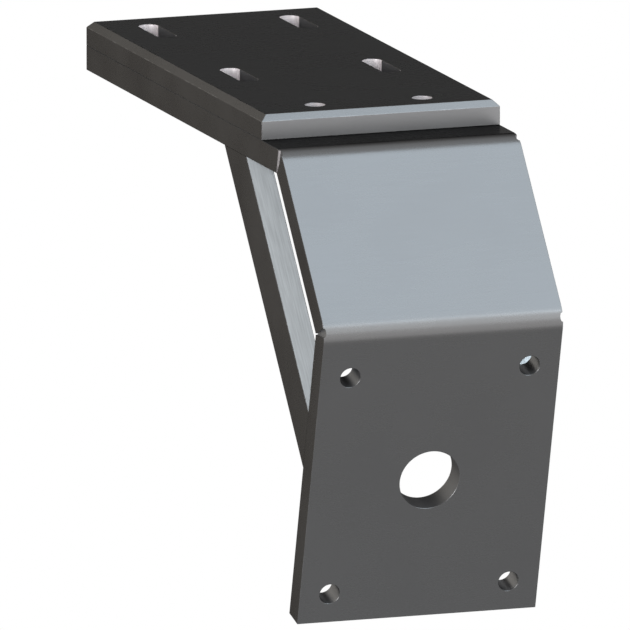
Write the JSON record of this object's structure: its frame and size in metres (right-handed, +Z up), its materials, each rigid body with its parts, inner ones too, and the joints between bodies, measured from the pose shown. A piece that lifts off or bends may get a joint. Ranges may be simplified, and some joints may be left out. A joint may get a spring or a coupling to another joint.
{
  "type": "shallow water anchor mount",
  "caption": "Twice-bent plate bracket with slotted deck flange, cap plate, side braces and a leaning, drilled plate that carries a shallow water anchor.",
  "frame": {"origin": "centre of the four deck slots, on the flange's underside", "axes": "+X aft, towards the folds; +Y starboard, across the plate; +Z up, out of the deck"},
  "size_m": [0.3675, 0.127, 0.2503],
  "materials": {
    "coated_plate": "dark grey satin anodised",
    "weld_bead": "rippled weld bead under the same dark finish"
  },
  "bodies": {
    "root": {"bent_plate": "coated_plate", "cap_plate": "coated_plate", "port_brace": "coated_plate", "starboard_brace": "coated_plate", "port_upper_weld": "weld_bead", "port_lower_weld": "weld_bead", "starboard_upper_weld": "weld_bead", "starboard_lower_weld": "weld_bead"}
  },
  "joints": []
}
